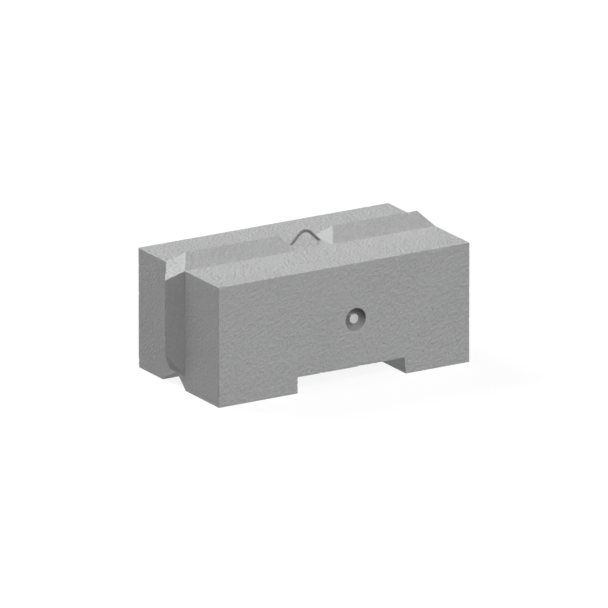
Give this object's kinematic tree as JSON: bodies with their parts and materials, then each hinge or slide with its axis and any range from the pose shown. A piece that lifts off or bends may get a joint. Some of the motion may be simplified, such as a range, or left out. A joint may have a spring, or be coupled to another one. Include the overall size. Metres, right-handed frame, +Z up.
{
  "type": "interlocking concrete barrier block",
  "caption": "Rectangular precast concrete barrier block with a V ridge and lifting loop on top, a V tongue and notch at its ends, a grooved underside with a fork slot, and a side anchor.",
  "frame": {"origin": "middle of the base of the overall box, on the ground", "axes": "+X along the block from the tongue end to the notch end, +Y from the front face, with the side anchor, to the rear face, +Z up"},
  "size_m": [1.46, 0.75, 0.6649],
  "materials": {
    "concrete": "cast grey concrete with fine pores and slightly worn arrises",
    "loop_steel": "plain round bar, dull mill scale",
    "anchor_steel": "galvanised forging",
    "cage_steel": "reinforcing bar with light rust",
    "spacer_mortar": "fine grey mortar"
  },
  "bodies": {
    "root": {"concrete_block": "concrete", "lifting_loop": "loop_steel", "side_lifting_anchor": "anchor_steel", "loop_cross_bar_left": "cage_steel", "loop_cross_bar_right": "cage_steel", "anchor_hairpin": "cage_steel", "cage_link_1": "cage_steel", "cage_link_2": "cage_steel", "cage_link_3": "cage_steel", "cage_link_4": "cage_steel", "cage_link_5": "cage_steel", "cage_link_6": "cage_steel", "cage_link_7": "cage_steel", "top_bar_front": "cage_steel", "top_bar_rear": "cage_steel", "upper_bar_front": "cage_steel", "upper_bar_rear": "cage_steel", "lower_bar_front": "cage_steel", "lower_bar_rear": "cage_steel", "bottom_bar_front": "cage_steel", "bottom_bar_rear": "cage_steel", "cover_spacers": "spacer_mortar"}
  },
  "joints": []
}
